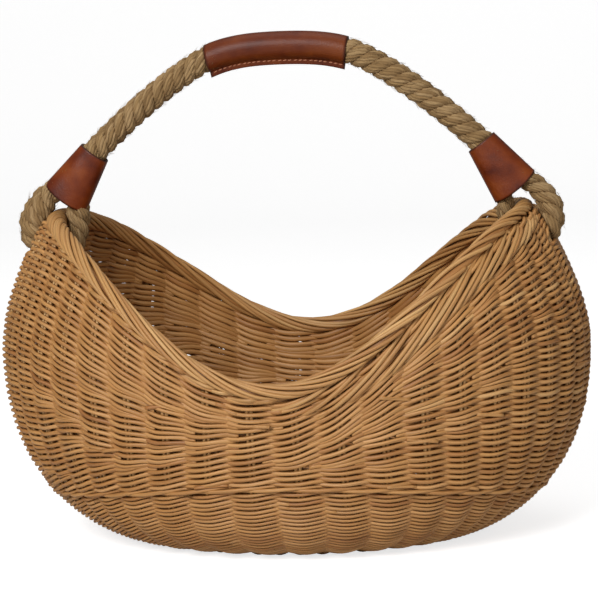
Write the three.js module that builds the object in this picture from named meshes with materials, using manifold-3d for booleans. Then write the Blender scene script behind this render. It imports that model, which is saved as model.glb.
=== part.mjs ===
// A crescent-shaped wicker basket with a saddle-shaped opening and one rope handle.
// Millimetres, +Z up, origin at the centre of the flat underside.
// +X runs along the basket's length and -Y faces the front.
import * as THREE from 'three';
import { mergeVertices } from 'three/addons/utils/BufferGeometryUtils.js';
import Module from 'manifold-3d';

const wasm = await Module();
wasm.setup();

// ---- driving dimensions: the woven body ----
const HALF_LENGTH = 297;        // half the length at the widest level
const DEPTH_RATIO = 0.606;      // depth over length, at every level
const WIDEST_Z = 196;           // level of the widest point
const BASE_HALF_LENGTH = 147;   // half-length of the flat underside
const BELLY_POWER = [2.27, 0.526]; // fullness of the belly below the widest level
const SHOULDER_LEVEL = 356.5;   // level where the ends have leaned in by the next two sizes
const SHOULDER_DROP = 66.5;     // how far each end leans in, steadily
const SHOULDER_HOOK = 8;        // and how far more it turns in, only near the top
const SHOULDER_POWER = [1.7, 8];
const TIP_PINCH = 0.12;         // how much the two sides draw together at the tips
const PINCH_REACH = 250;        // distance from the middle where the pinch is full

// ---- driving dimensions: the rim ----
const RIM_TOP_LOW = 192;        // top of the rim at the middle of the back
const RIM_FRONT_DIP = 5;        // how much lower the middle of the front is
const RIM_WAVE_TOP = 356.5;     // height of the wave that the rim follows
const RIM_WAVE_HALF = 300;      // and its half-length
const RIM_RADIUS = 10.5;
const RIM_SIDES = 8;
const RIM_CORE_RADIUS = 3.2;
const RIM_CORE_SIDES = 6;
const RIM_BORE_CLEARANCE = 0.8; // room around the core rod inside the border
const RIM_TIP_SETBACK = 7;      // how far the rim leans in past the wall at the tips
const RIM_SLIT_HALF_ANGLE = 0.3; // opening along the underside of the border, radians

// ---- driving dimensions: the weave ----
const STAKE_PAIRS = 44;         // upright rod pairs around the basket
const STAKE_PAIR_WIDTH = 7.6;   // two rods side by side
const STAKE_INSETS = [5, 7.8];  // depth of the rods below the outer surface
const LONG_STAKES_PER_SIDE = 4; // pairs on each side of a tip that run lengthwise in the base
const LONG_STAKE_LIFT = 3.4;    // they lie on the rods that cross the base
const OUTER_SKIN = [0, 3.2];    // depth range of the weave outside the rods
const INNER_SKIN = [9, 12.2];   // depth range of the weave inside the rods
const WALL_MIDDLE = 6.1;        // depth of the middle of the wall
const GAP = 0.35;               // clearance between neighbouring pieces
const BASE_DISC = [139, 84];    // half sizes of the base weave under the rods
const BASE_TOP = { half: [145, 87.5], low: 12, high: 15.6 }; // the base weave over the rods
const BASE_TOP_ROOM = 170;      // half-length of the space kept for it
const BASE_GATHER = [0.2, 0.15]; // how the rods crowd towards the ends in the base
const GATHER_POWER = 4;
const WALE_Z = [94, 62];        // height of the wale at the middle and at the ends
const WALE_HALF_HEIGHT = 3;
const BELOW_ROWS = 6;           // rows of the surface grid below the widest level
const ABOVE_ROWS = 4;           // rows of the surface grid above it
const GRID_TOP_Z = 362;         // the grid runs past the rim, which then trims it

// Rods near a tip stand aside for the rope, by this many degrees next to the tip.
const SPREAD = { degrees: 5.6, fade: 11, low: 205, high: 275 };

// ---- driving dimensions: the rope handle ----
const ROPE_RADIUS = 11.5;
const ROPE_SIDES = 10;
const ROPE_CLEARANCE = 0.4;
const HINGE_Z = 345;            // the rope flexes here, just above the tips of the rim
const HANDLE_CUT_Z = HINGE_Z + ROPE_RADIUS + 0.7;
const LEATHER = 1.8;
const HOLE_CLEARANCE = 0.5;
const GRIP_CLEARANCE = 1.1;
const CUFF_HALF_DEPTH = 15.5;
const CUFF_SIDES = 24;
const GRIP_SPAN = [-77, 64];    // where the leather grip starts and ends, along X
const GRIP_SIDES = 12;
const GRIP_FLANGE = 6;          // height of the stitched flange under the grip
const GRIP_THREAD = [1.2, 2.2]; // thickness and height of the line of stitches

// The rope's path at the +X end, as [x, z] points in the plane y = 0. Both ends are alike.
const HALF_BOW = [[45, 491.5], [74, 483], [104, 465.5], [134, 443], [165, 417.5],
  [193, 391.5], [212, 373], [231, 357], [248.7, 345]];
const BOW_TOP = [0, 494];
const EYE = [[248.7, 345], [256, 335.5], [261.5, 327], [262.5, 318], [258.5, 306.5], [248, 297],
  [235, 293], [222, 296], [213, 305], [208.5, 318], [208.5, 332], [212, 345]];
const TAIL = [[212, 350], [205, 364], [196, 381]];
// The cuff's two end rings: centre, tilt from level and half-width.
const CUFF = {
  low: { centre: [224.7, 347], turn: -0.657, half: 24.8 },
  high: { centre: [192.9, 391.5], turn: -0.635, half: 15.6 },
};

const mirrored = (points) => points.map(([x, z]) => [-x, z]);
const mirroredRing = ({ centre, turn, half }) => ({ centre: [-centre[0], centre[1]], turn: -turn, half });
const SIDES = [
  {
    name: 'left',
    eye: mirrored(EYE),
    tail: mirrored(TAIL),
    cuffLow: mirroredRing(CUFF.low),
    cuffHigh: mirroredRing(CUFF.high),
  },
  { name: 'right', eye: EYE, tail: TAIL, cuffLow: CUFF.low, cuffHigh: CUFF.high },
];
const BOW = [...mirrored(HALF_BOW).reverse(), BOW_TOP, ...HALF_BOW];

const materials = {
  willow: new THREE.MeshStandardMaterial({ color: 0xb98d57, roughness: 0.62, metalness: 0 }),
  stake: new THREE.MeshStandardMaterial({ color: 0xa87c49, roughness: 0.65, metalness: 0 }),
  rim: new THREE.MeshStandardMaterial({ color: 0xb58850, roughness: 0.6, metalness: 0 }),
  rope: new THREE.MeshStandardMaterial({ color: 0x9c855c, roughness: 0.95, metalness: 0 }),
  leather: new THREE.MeshStandardMaterial({ color: 0x7c3618, roughness: 0.45, metalness: 0 }),
  thread: new THREE.MeshStandardMaterial({ color: 0xb67a55, roughness: 0.8, metalness: 0 }),
};

const basket = new THREE.Group();

// ---- solids ----

// Turns a closed geometry into a solid, with its faces pointing out.
function solid(geometry) {
  const bare = geometry.clone();
  bare.deleteAttribute('normal');
  bare.deleteAttribute('uv');
  const merged = mergeVertices(bare, 1e-4);
  const position = merged.getAttribute('position');
  const index = merged.getIndex().array;
  const triangles = [];
  for (let i = 0; i < index.length; i += 3) {
    const [a, b, c] = [index[i], index[i + 1], index[i + 2]];
    if (a !== b && b !== c && c !== a) triangles.push([a, b, c]);
  }
  const point = (i) => new THREE.Vector3().fromBufferAttribute(position, i);
  const volume = triangles.reduce(
    (sum, [a, b, c]) => sum + point(a).dot(point(b).cross(point(c))), 0);
  if (volume < 0) triangles.forEach((t) => t.reverse());
  return new wasm.Manifold(new wasm.Mesh({
    numProp: 3,
    vertProperties: new Float32Array(position.array),
    triVerts: new Uint32Array(triangles.flat()),
  }));
}

// Adds a solid to the basket as a named mesh.
function addPiece(name, manifold, material) {
  const result = manifold.getMesh();
  const geometry = new THREE.BufferGeometry();
  geometry.setAttribute('position', new THREE.BufferAttribute(result.vertProperties, 3));
  geometry.setIndex(new THREE.BufferAttribute(result.triVerts, 1));
  geometry.computeVertexNormals();
  const mesh = new THREE.Mesh(geometry, material);
  mesh.name = name;
  basket.add(mesh);
}

// ---- the shape of the body ----

// Half-length of the outer surface at a height.
function halfLengthAt(z) {
  if (z < WIDEST_Z) {
    const below = (WIDEST_Z - z) / WIDEST_Z;
    const fullness = (1 - below ** BELLY_POWER[0]) ** BELLY_POWER[1];
    return BASE_HALF_LENGTH + (HALF_LENGTH - BASE_HALF_LENGTH) * fullness;
  }
  const above = (z - WIDEST_Z) / (SHOULDER_LEVEL - WIDEST_Z);
  return HALF_LENGTH - SHOULDER_DROP * above ** SHOULDER_POWER[0]
    - SHOULDER_HOOK * above ** SHOULDER_POWER[1];
}

// The two sides draw together towards the tips.
function pinchAt(x, z) {
  const rise = THREE.MathUtils.smoothstep(z, WIDEST_Z, SHOULDER_LEVEL);
  const reach = Math.min(1, Math.abs(x) / PINCH_REACH);
  return 1 - TIP_PINCH * rise * reach ** 2;
}

// The ellipse angle where a rod pair's line around the basket is at a height: low down, the
// lines stay spaced out along the front and back and crowd towards the ends.
function gatheredAngle(angle, z) {
  const below = Math.max(0, (WIDEST_Z - z) / WIDEST_Z);
  const crowd = Math.sin(2 * angle) - BASE_GATHER[1] * Math.sin(4 * angle);
  return angle - BASE_GATHER[0] * below ** GATHER_POWER * crowd;
}

// One row of the surface grid: where it is, and which way the surface faces there.
function gridRow(z) {
  const half = halfLengthAt(z);
  const slope = z === 0 ? Infinity : (halfLengthAt(z + 0.1) - halfLengthAt(z - 0.1)) / 0.2;
  const facing = (steepness) => (Number.isFinite(steepness)
    ? new THREE.Vector2(1, -steepness).normalize() : new THREE.Vector2(0, -1));
  return { half, z, endFacing: facing(slope), sideFacing: facing(slope * DEPTH_RATIO) };
}

const gridRows = [];
for (let i = 0; i <= BELOW_ROWS; i += 1) gridRows.push(gridRow(WIDEST_Z * (i / BELOW_ROWS) ** 2));
for (let i = 1; i <= ABOVE_ROWS; i += 1) {
  gridRows.push(gridRow(WIDEST_Z + (GRID_TOP_Z - WIDEST_Z) * (i / ABOVE_ROWS)));
}

// A point at a grid row and a rod line's angle, a depth below the outer surface.
function wallPoint(row, lineAngle, depth) {
  const angle = gatheredAngle(lineAngle, row.z);
  const x = (row.half - row.endFacing.x * depth) * Math.cos(angle);
  const y = (row.half * DEPTH_RATIO - row.sideFacing.x * depth) * Math.sin(angle);
  const z = row.z - depth * (row.endFacing.y * Math.cos(angle) ** 2
    + row.sideFacing.y * Math.sin(angle) ** 2);
  return new THREE.Vector3(x, y * pinchAt(x, z), z);
}

// The whole body as a solid, shrunk by a depth, before the opening is cut.
function bodySolid(depth) {
  const profile = [new THREE.Vector2(0, depth)];
  gridRows.forEach((row) => profile.push(new THREE.Vector2(row.half, row.z)));
  profile.push(new THREE.Vector2(0, GRID_TOP_Z));
  const lathe = new THREE.LatheGeometry(profile, STAKE_PAIRS);
  const position = lathe.getAttribute('position');
  const topDrop = gridRows[gridRows.length - 1].endFacing.y * depth;
  const poleHeights = { 0: depth, [profile.length - 1]: GRID_TOP_Z - topDrop };
  for (let i = 0; i < position.count; i += 1) {
    const level = i % profile.length;
    if (level in poleHeights) {
      position.setXYZ(i, 0, 0, poleHeights[level]);
    } else {
      const turn = Math.floor(i / profile.length) % STAKE_PAIRS;
      const point = wallPoint(gridRows[level - 1], ((turn + 0.5) * 2 * Math.PI) / STAKE_PAIRS, depth);
      position.setXYZ(i, point.x, point.y, point.z);
    }
  }
  return solid(lathe);
}

// Everything between two heights that change along the length, as a cutting solid.
function bandSolid(lowAt, highAt) {
  const steps = 12;
  const reach = HALF_LENGTH + 20;
  const outline = new THREE.Shape();
  const xAt = (i) => -reach + (2 * reach * i) / steps;
  outline.moveTo(xAt(0), lowAt(xAt(0)));
  for (let i = 1; i <= steps; i += 1) outline.lineTo(xAt(i), lowAt(xAt(i)));
  for (let i = steps; i >= 0; i -= 1) outline.lineTo(xAt(i), highAt(xAt(i)));
  const geometry = new THREE.ExtrudeGeometry(outline, { depth: 2 * reach, bevelEnabled: false });
  geometry.translate(0, 0, -reach);
  geometry.rotateX(Math.PI / 2);
  return solid(geometry);
}

function ovalSolid(halfSizes, low, high) {
  const geometry = new THREE.CylinderGeometry(1, 1, high - low, STAKE_PAIRS);
  geometry.rotateX(Math.PI / 2);
  geometry.scale(halfSizes[0], halfSizes[1], 1);
  geometry.translate(0, 0, (low + high) / 2);
  return solid(geometry);
}

// ---- the rim ----

const RIM_ROOM_RADIUS = (RIM_RADIUS + GAP) / Math.cos(Math.PI / RIM_SIDES);

// Height of the rim's centre line, before the front's dip.
function rimWaveZ(x) {
  const wave = Math.cos((Math.PI * Math.min(Math.abs(x), RIM_WAVE_HALF)) / RIM_WAVE_HALF);
  return RIM_TOP_LOW - RIM_RADIUS + ((RIM_WAVE_TOP - RIM_TOP_LOW) * (1 - wave)) / 2;
}

function frontDip(angle) {
  return RIM_FRONT_DIP * Math.max(0, -Math.sin(angle)) ** 6;
}

// Where the rim's centre line is at an angle around the basket.
function rimPoint(angle) {
  const depth = WALL_MIDDLE + RIM_TIP_SETBACK * Math.cos(angle) ** 8;
  let z = RIM_TOP_LOW;
  let x = 0;
  for (let i = 0; i < 40; i += 1) {
    x = (halfLengthAt(z) - depth) * Math.cos(angle);
    z = rimWaveZ(x) - frontDip(angle);
  }
  const y = (halfLengthAt(z) * DEPTH_RATIO - depth) * Math.sin(angle) * pinchAt(x, z);
  return new THREE.Vector3(x, y, z);
}

// A ring that follows the rim: a flat closed section of [outward, upward] points.
function rimRing(section) {
  const closed = [...section, section[0]];
  const around = closed.map(([out, up]) => new THREE.Vector2(HALF_LENGTH + out, up));
  const lathe = new THREE.LatheGeometry(around, STAKE_PAIRS);
  const position = lathe.getAttribute('position');
  for (let i = 0; i < position.count; i += 1) {
    const [out, up] = closed[i % closed.length];
    const angle = (Math.floor(i / closed.length) * 2 * Math.PI) / STAKE_PAIRS;
    const centre = rimPoint(angle);
    const along = rimPoint(angle + 0.01).sub(rimPoint(angle - 0.01)).normalize();
    const outward = along.clone().cross(new THREE.Vector3(0, 0, 1)).normalize();
    const upward = outward.clone().cross(along).normalize();
    centre.addScaledVector(outward, out).addScaledVector(upward, up);
    position.setXYZ(i, centre.x, centre.y, centre.z);
  }
  return solid(lathe);
}

function arcPoints(radius, start, end, steps) {
  return Array.from({ length: steps + 1 }, (_, i) => {
    const angle = start + ((end - start) * i) / steps;
    return [radius * Math.cos(angle), radius * Math.sin(angle)];
  });
}

function circleSection(radius, sides) {
  return arcPoints(radius, 0, 2 * Math.PI * (1 - 1 / sides), sides - 1);
}

// ---- ropes and sleeves ----

function pathThrough(points) {
  return new THREE.CatmullRomCurve3(points.map(([x, z]) => new THREE.Vector3(x, 0, z)), false,
    'centripetal');
}

// A round rope along a path in the plane y = 0.
function ropeSolid(path, radius, steps) {
  const section = new THREE.Shape(
    circleSection(radius, ROPE_SIDES).map(([x, y]) => new THREE.Vector2(x, y)));
  return solid(new THREE.ExtrudeGeometry(section, { steps, extrudePath: path }));
}

function ballAt([x, z], radius) {
  const geometry = new THREE.SphereGeometry(radius, ROPE_SIDES, 8);
  geometry.rotateZ(Math.PI / 2);
  geometry.translate(x, 0, z);
  return solid(geometry);
}

// A slab that takes away everything below the level where the handle starts.
function belowHandle() {
  const size = 700;
  const geometry = new THREE.BoxGeometry(size, size, size);
  geometry.translate(0, 0, HANDLE_CUT_Z - size / 2);
  return solid(geometry);
}

// ---- the base and the walls ----

function buildWeave() {
  const middleZ = (x) => WALE_Z[0] + (WALE_Z[1] - WALE_Z[0]) * (x / HALF_LENGTH) ** 2;
  const under = () => -50;
  const waleLow = (x) => middleZ(x) - WALE_HALF_HEIGHT;
  const waleHigh = (x) => middleZ(x) + WALE_HALF_HEIGHT;
  const wale = bandSolid(waleLow, waleHigh);
  const lower = bandSolid(under, (x) => waleLow(x) - GAP);
  const upper = bandSolid((x) => waleHigh(x) + GAP, rimWaveZ);
  const rimRoom = rimRing(circleSection(RIM_ROOM_RADIUS, RIM_SIDES));
  const eyeHoles = SIDES
    .map((side) => ropeSolid(pathThrough(side.eye), ROPE_RADIUS + HOLE_CLEARANCE, 12))
    .reduce((all, hole) => all.add(hole));
  const outer = bodySolid(OUTER_SKIN[0]).subtract(bodySolid(OUTER_SKIN[1]));
  const inner = bodySolid(INNER_SKIN[0]).subtract(bodySolid(INNER_SKIN[1]));
  const disc = ovalSolid(BASE_DISC, -10, 10);
  const discRoom = ovalSolid(BASE_DISC.map((half) => half + GAP), -10, 10);
  const innerRoom = ovalSolid([BASE_TOP_ROOM, BASE_TOP_ROOM * DEPTH_RATIO], -10, 30);

  addPiece('base_weave_under', outer.intersect(disc), materials.willow);
  addPiece('base_weave_upper', ovalSolid(BASE_TOP.half, BASE_TOP.low, BASE_TOP.high), materials.willow);
  addPiece('lower_weave_outer', outer.intersect(lower).subtract(discRoom), materials.willow);
  addPiece('lower_weave_inner', inner.intersect(lower).subtract(innerRoom), materials.willow);
  addPiece('wale_outer', outer.intersect(wale), materials.willow);
  addPiece('side_weave_outer', outer.intersect(upper).subtract(rimRoom).subtract(eyeHoles),
    materials.willow);
  addPiece('side_weave_inner', inner.intersect(upper).subtract(rimRoom).subtract(eyeHoles),
    materials.willow);
}

// Rods near a tip stand aside for the rope.
function spreadAngle(angle, z) {
  const { degrees, fade, low, high } = SPREAD;
  const fromTip = THREE.MathUtils.radToDeg(Math.asin(Math.min(Math.abs(Math.sin(angle)), 1)));
  const beyondFirst = fromTip - 180 / STAKE_PAIRS;
  const amount = THREE.MathUtils.smoothstep(z, low, high) * degrees * Math.exp(-beyondFirst / fade);
  const side = Math.sign(Math.sin(angle)) * Math.sign(Math.cos(angle));
  return angle + side * THREE.MathUtils.degToRad(amount);
}

// A flat bar bent through stations, each with its low and high point and its width direction.
function barSolid(stations) {
  const steps = stations.length - 1;
  const geometry = new THREE.BoxGeometry(1, 1, 1, 1, 1, steps);
  const position = geometry.getAttribute('position');
  for (let i = 0; i < position.count; i += 1) {
    const station = stations[Math.round((position.getZ(i) + 0.5) * steps)];
    const point = (position.getY(i) > 0 ? station.high : station.low).clone();
    point.addScaledVector(station.across, position.getX(i) * STAKE_PAIR_WIDTH);
    position.setXYZ(i, point.x, point.y, point.z);
  }
  return solid(geometry);
}

// The stations of a rod pair from the rim down one wall to the base, at one angle.
function wallStations(angle, firstRow) {
  return gridRows.slice(firstRow).reverse().map((row) => {
    const here = spreadAngle(angle, row.z);
    const across = wallPoint(row, here + 0.01, WALL_MIDDLE)
      .sub(wallPoint(row, here - 0.01, WALL_MIDDLE)).normalize();
    return {
      low: wallPoint(row, here, STAKE_INSETS[0]),
      high: wallPoint(row, here, STAKE_INSETS[1]),
      across,
    };
  });
}

// A rod pair that runs from the rim under the base to the rim on the other side.
// lift raises it over the rods that cross it in the base.
function spokeSolid(angle, farAngle, straightAcross, lift) {
  const baseEdge = (lineAngle) => {
    const at = gatheredAngle(lineAngle, 0);
    const [x, y] = [BASE_HALF_LENGTH * Math.cos(at), BASE_HALF_LENGTH * DEPTH_RATIO * Math.sin(at)];
    return {
      low: new THREE.Vector3(x, y, STAKE_INSETS[0] + lift),
      high: new THREE.Vector3(x, y, STAKE_INSETS[1] + lift),
      across: straightAcross,
    };
  };
  const flip = (station) => ({ ...station, across: station.across.clone().negate() });
  const near = wallStations(angle, 1);
  const far = wallStations(farAngle, 1).reverse().map(flip);
  return barSolid([...near, baseEdge(angle), baseEdge(farAngle), ...far]);
}

function buildSpokes() {
  const trim = bandSolid(rimWaveZ, () => GRID_TOP_Z + 60)
    .add(rimRing(circleSection(RIM_ROOM_RADIUS, RIM_SIDES)));
  const step = (2 * Math.PI) / STAKE_PAIRS;
  const longCount = LONG_STAKES_PER_SIDE;
  for (let k = longCount; k < STAKE_PAIRS / 2 - longCount; k += 1) {
    const angle = (k + 0.5) * step;
    const spoke = spokeSolid(angle, -angle, new THREE.Vector3(-1, 0, 0), 0);
    addPiece(`cross_stake_${k - longCount + 1}`, spoke.subtract(trim), materials.stake);
  }
  for (let k = 0; k < 2 * longCount; k += 1) {
    const angle = (k - longCount + 0.5) * step;
    const spoke = spokeSolid(angle, Math.PI - angle, new THREE.Vector3(0, 1, 0), LONG_STAKE_LIFT);
    addPiece(`long_stake_${k + 1}`, spoke.subtract(trim), materials.stake);
  }
}

function buildRim() {
  const slit = RIM_SLIT_HALF_ANGLE;
  const bottom = -Math.PI / 2;
  const section = [
    ...arcPoints(RIM_RADIUS, bottom + slit, bottom + 2 * Math.PI - slit, RIM_SIDES),
    ...arcPoints(RIM_CORE_RADIUS + RIM_BORE_CLEARANCE, bottom + 2 * Math.PI - 3 * slit, bottom + 3 * slit, 4),
  ];
  addPiece('rim_core_rod', rimRing(circleSection(RIM_CORE_RADIUS, RIM_CORE_SIDES)), materials.rim);
  addPiece('rim_border', rimRing(section), materials.rim);
}

// ---- the handle ----

function buildEyes() {
  SIDES.forEach((side) => {
    const rope = ropeSolid(pathThrough(side.eye), ROPE_RADIUS, 12)
      .add(ballAt(side.eye[0], ROPE_RADIUS))
      .add(ballAt(side.eye[side.eye.length - 1], ROPE_RADIUS));
    addPiece(`${side.name}_rope_eye`, rope, materials.rope);
  });
}

// A tapered sleeve between two tilted oval rings, thinned by a thickness.
function sleeveSolid(side, shrink) {
  const geometry = new THREE.CylinderGeometry(1, 1, 1, CUFF_SIDES);
  const position = geometry.getAttribute('position');
  const overshoot = shrink > 0 ? 1 : 0;
  for (let i = 0; i < position.count; i += 1) {
    const high = position.getY(i) > 0;
    const ring = high ? side.cuffHigh : side.cuffLow;
    const across = position.getX(i) * (ring.half - shrink);
    const lift = high ? overshoot : -overshoot;
    position.setXYZ(
      i,
      ring.centre[0] + across * Math.cos(ring.turn) + lift * Math.sin(ring.turn),
      position.getZ(i) * (CUFF_HALF_DEPTH - shrink),
      ring.centre[1] - across * Math.sin(ring.turn) + lift * Math.cos(ring.turn));
  }
  return solid(geometry);
}

function buildHandle() {
  const bow = pathThrough(BOW);
  const below = belowHandle();
  const bowRoom = ropeSolid(bow, ROPE_RADIUS + ROPE_CLEARANCE, 24);
  addPiece('handle_rope', ropeSolid(bow, ROPE_RADIUS, 24).subtract(below), materials.rope);
  SIDES.forEach((side) => {
    const tailPath = pathThrough(side.tail);
    const tailRoom = ropeSolid(tailPath, ROPE_RADIUS + ROPE_CLEARANCE, 4);
    const bore = sleeveSolid(side, LEATHER);
    const tail = ropeSolid(tailPath, ROPE_RADIUS, 4).subtract(bowRoom).subtract(below);
    const inCuff = tail.intersect(sleeveSolid(side, LEATHER + GAP));
    addPiece(`${side.name}_rope_tail`, inCuff, materials.rope);
    const cuff = sleeveSolid(side, 0).subtract(bore).subtract(bowRoom).subtract(tailRoom);
    addPiece(`${side.name}_cuff`, cuff.subtract(below), materials.leather);
  });
}

// The part of the bow under the leather grip, as a path of its own.
function gripPath() {
  const bow = pathThrough(BOW);
  const steps = 400;
  const inGrip = (p) => p.x >= GRIP_SPAN[0] && p.x <= GRIP_SPAN[1];
  const points = bow.getSpacedPoints(steps).filter(inGrip);
  const count = 8;
  const picked = Array.from({ length: count + 1 },
    (_, i) => points[Math.round((i * (points.length - 1)) / count)]);
  return new THREE.CatmullRomCurve3(picked, false, 'centripetal');
}

// Sweeps a flat shape of [sideways, upwards] points along the grip, always upright.
function gripSweep(shape) {
  const path = gripPath();
  const steps = 9;
  const geometry = new THREE.ExtrudeGeometry(shape, { depth: 1, steps, bevelEnabled: false });
  const position = geometry.getAttribute('position');
  for (let i = 0; i < position.count; i += 1) {
    const at = Math.min(1, Math.max(0, position.getZ(i)));
    const along = path.getTangentAt(at);
    const point = path.getPointAt(at);
    const [side, up] = [position.getX(i), position.getY(i)];
    position.setXYZ(i, point.x - along.z * up, side, point.z + along.x * up);
  }
  return solid(geometry);
}

function buildGrip() {
  const outerRadius = ROPE_RADIUS + GRIP_CLEARANCE + LEATHER;
  const lip = Math.asin(LEATHER / outerRadius);
  const bottom = -Math.PI / 2;
  const outline = arcPoints(outerRadius, bottom + lip, bottom + 2 * Math.PI - lip, GRIP_SIDES);
  outline.push([-LEATHER, -outerRadius - GRIP_FLANGE], [LEATHER, -outerRadius - GRIP_FLANGE]);
  const shape = new THREE.Shape(outline.map(([x, y]) => new THREE.Vector2(x, y)));
  shape.holes.push(new THREE.Path(
    circleSection(ROPE_RADIUS + GRIP_CLEARANCE, GRIP_SIDES).map(([x, y]) => new THREE.Vector2(x, y))));
  addPiece('leather_grip', gripSweep(shape), materials.leather);
  const [thick, tall] = GRIP_THREAD;
  const [near, low] = [-LEATHER - GAP, -outerRadius - GRIP_FLANGE + 1];
  const line = new THREE.Shape([
    new THREE.Vector2(near - thick, low), new THREE.Vector2(near, low),
    new THREE.Vector2(near, low + tall), new THREE.Vector2(near - thick, low + tall)]);
  addPiece('grip_thread', gripSweep(line), materials.thread);
}

buildWeave();
buildSpokes();
buildRim();
buildEyes();
buildHandle();
buildGrip();

export default basket;
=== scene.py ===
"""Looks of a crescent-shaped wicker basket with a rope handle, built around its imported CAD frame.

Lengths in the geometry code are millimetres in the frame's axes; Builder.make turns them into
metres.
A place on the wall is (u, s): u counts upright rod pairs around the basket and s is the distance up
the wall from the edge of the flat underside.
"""

import math

import bpy
import numpy as np
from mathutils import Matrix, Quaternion, Vector


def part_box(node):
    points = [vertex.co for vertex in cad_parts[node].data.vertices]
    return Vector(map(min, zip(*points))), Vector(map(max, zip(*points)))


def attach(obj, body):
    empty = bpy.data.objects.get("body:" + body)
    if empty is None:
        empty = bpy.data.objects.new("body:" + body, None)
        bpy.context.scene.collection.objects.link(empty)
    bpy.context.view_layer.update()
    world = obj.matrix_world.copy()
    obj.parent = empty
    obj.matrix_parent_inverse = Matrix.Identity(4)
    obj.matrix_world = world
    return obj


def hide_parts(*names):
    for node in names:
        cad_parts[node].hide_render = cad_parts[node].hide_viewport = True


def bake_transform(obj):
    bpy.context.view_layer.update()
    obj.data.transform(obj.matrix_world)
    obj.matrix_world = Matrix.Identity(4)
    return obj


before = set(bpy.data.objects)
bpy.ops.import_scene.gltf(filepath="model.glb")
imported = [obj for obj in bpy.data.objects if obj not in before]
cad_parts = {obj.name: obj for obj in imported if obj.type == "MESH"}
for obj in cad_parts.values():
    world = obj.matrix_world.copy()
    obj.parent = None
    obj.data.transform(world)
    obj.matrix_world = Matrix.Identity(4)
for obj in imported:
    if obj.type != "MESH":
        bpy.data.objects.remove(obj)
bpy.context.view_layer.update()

MM = 0.001
PAIRS = 44                  # upright rod pairs
STEP = 2 * math.pi / PAIRS
SUB = 8                     # samples between two pairs
Y_AXIS = np.array([0.0, 1.0, 0.0])
GRAIN_START = 9000          # each rod's grain begins somewhere else within this length


def box_mm(node):
    low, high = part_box(node)
    return np.array(low) / MM, np.array(high) / MM


# ---- driving sizes, from the frame ----
HALF_LENGTH = box_mm("side_weave_outer")[1][0] / math.cos(STEP / 2)
WIDEST_Z = 0.66 * HALF_LENGTH
BASE_HALF_LENGTH = 0.495 * HALF_LENGTH
BELLY_POWER = (2.27, 0.526)  # fullness of the curve from the base to the widest level
SHOULDER_LEVEL = 1.2 * HALF_LENGTH
SHOULDER_DROP = 0.224 * HALF_LENGTH  # how far the ends come in between those levels
SHOULDER_HOOK = 0.027 * HALF_LENGTH  # and how much more right at the tips
SHOULDER_POWER = (1.7, 8)
DEPTH_RATIO = 0.606         # depth of the basket over its length
TIP_PINCH = 0.12            # the upper wall is this much shallower at its ends
PINCH_REACH = 0.84 * HALF_LENGTH
BASE_GATHER = (0.2, 0.15)   # how the uprights crowd towards the ends in the base
GATHER_POWER = 2.3
RIM_TOP_LOW = 0.6465 * HALF_LENGTH
RIM_WAVE_TOP = 1.2 * HALF_LENGTH
RIM_WAVE_HALF = 1.01 * HALF_LENGTH
RIM_R = 10.5                # the rim of the frame
RIM_FRONT_DIP = 5.0
TIP_SETBACK = 7.0           # how far the rim leans in past the wall at the tips
SETBACK_RISE = (-24, 0)     # and the heights beside the rim between which it does
TIP_POWER = 8               # power of the cosine that singles out the tips
ROPE_RADIUS = (box_mm("left_rope_eye")[1][1] - box_mm("left_rope_eye")[0][1]) / 2

# ---- tables of the wall ----
TABLE_LEVELS = 90           # levels below the widest one, and as many above
TABLE_OVER = 20             # how far they go on above the shoulder
WALL_REACH = 460.0          # distance up the wall that the table covers
RIM_SEARCH = (150, 450, 0.5)  # where on the wall the rim is looked for

# ---- the weave ----
WALL_DEPTH = 6.1            # middle of the wall below the outer surface
WEAVER_R = 1.98
STAKE_R = 1.9
STAKE_OUT = 0.7             # the uprights stand a little nearer the outside
STAKE_STEP = 6.0
STAKE_STOP = 8              # where an upright's border end takes over, below the rim
PAIR_GAP = 0.1              # half the gap between the two rods of a pair
WEAVE_OUT = STAKE_R + WEAVER_R * 0.92  # how far a weaver swings to either side of them
WEAVE_WAVE = (0.97, 0.04)   # that swing's plain wave, and one of a third its length
BEHIND_DROP = 0.3           # a weaver passes a little lower behind a rod pair than in front
BEHIND_FLAT = (0.9, 1.52)   # and is pressed flat there: its thickness and its height
CROSSING = 0.5              # how near two weavers of a row come where they cross, in radii
ROW_WOBBLE = 0.3            # waviness of a row
WOBBLE_WAVES = (3, 13)      # made of waves with this many turns around the basket
WOBBLE_SUM = 1.7            # usual height of three such waves together
ROD_REACH = (16, 44)        # a weaver is this many rod pairs long
ROD_SHORTEST = 6            # the last one of a row takes in a shorter rest
ROD_VARIES = (0.93, 1.07)   # its thickness against the usual
LOWER_SAG = 1.1             # how far the bars of the lower wall sag between their ends
LOWER_SWING = 0.6           # swing of the lowest row against the others
LOWER_EASE = (5, 7)         # rows over which the sag and the swing come up to full
LOWER_PITCH = 5.1
LOWER_GIRTH = 0.87          # the lower wall's weavers are thinner
LOWER_ROWS = 23
WALE_UP = 2.6               # middle of the wale above the lower wall
WALE_WIND = (1.6, 3.6)      # how far its rods wind up and down, and out and in
WALE_OUT = 1.2
WALE_GIRTH = 1.02
UPPER_START = LOWER_PITCH * LOWER_ROWS + 5.5
UPPER_PITCH = 6.35
UPPER_STOP = 6.6            # the upper weave ends this far below the rim's centre
LOW_FULL_ROWS = 3           # rows above the wale that run all the way around
HIGH_FULL_ROWS = 4          # and below the rim
ROW_SCATTER = 14.0          # how far the short rows' lengths stray from their order
AFTER_TIP = (0, 2)          # quarters of the way around that begin at a tip
ROW_FADE = (-0.8, 0.9)      # a short row opens over this many rows' room
ROW_BLUR = 6                # and its room is evened out over this many samples each way
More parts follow.
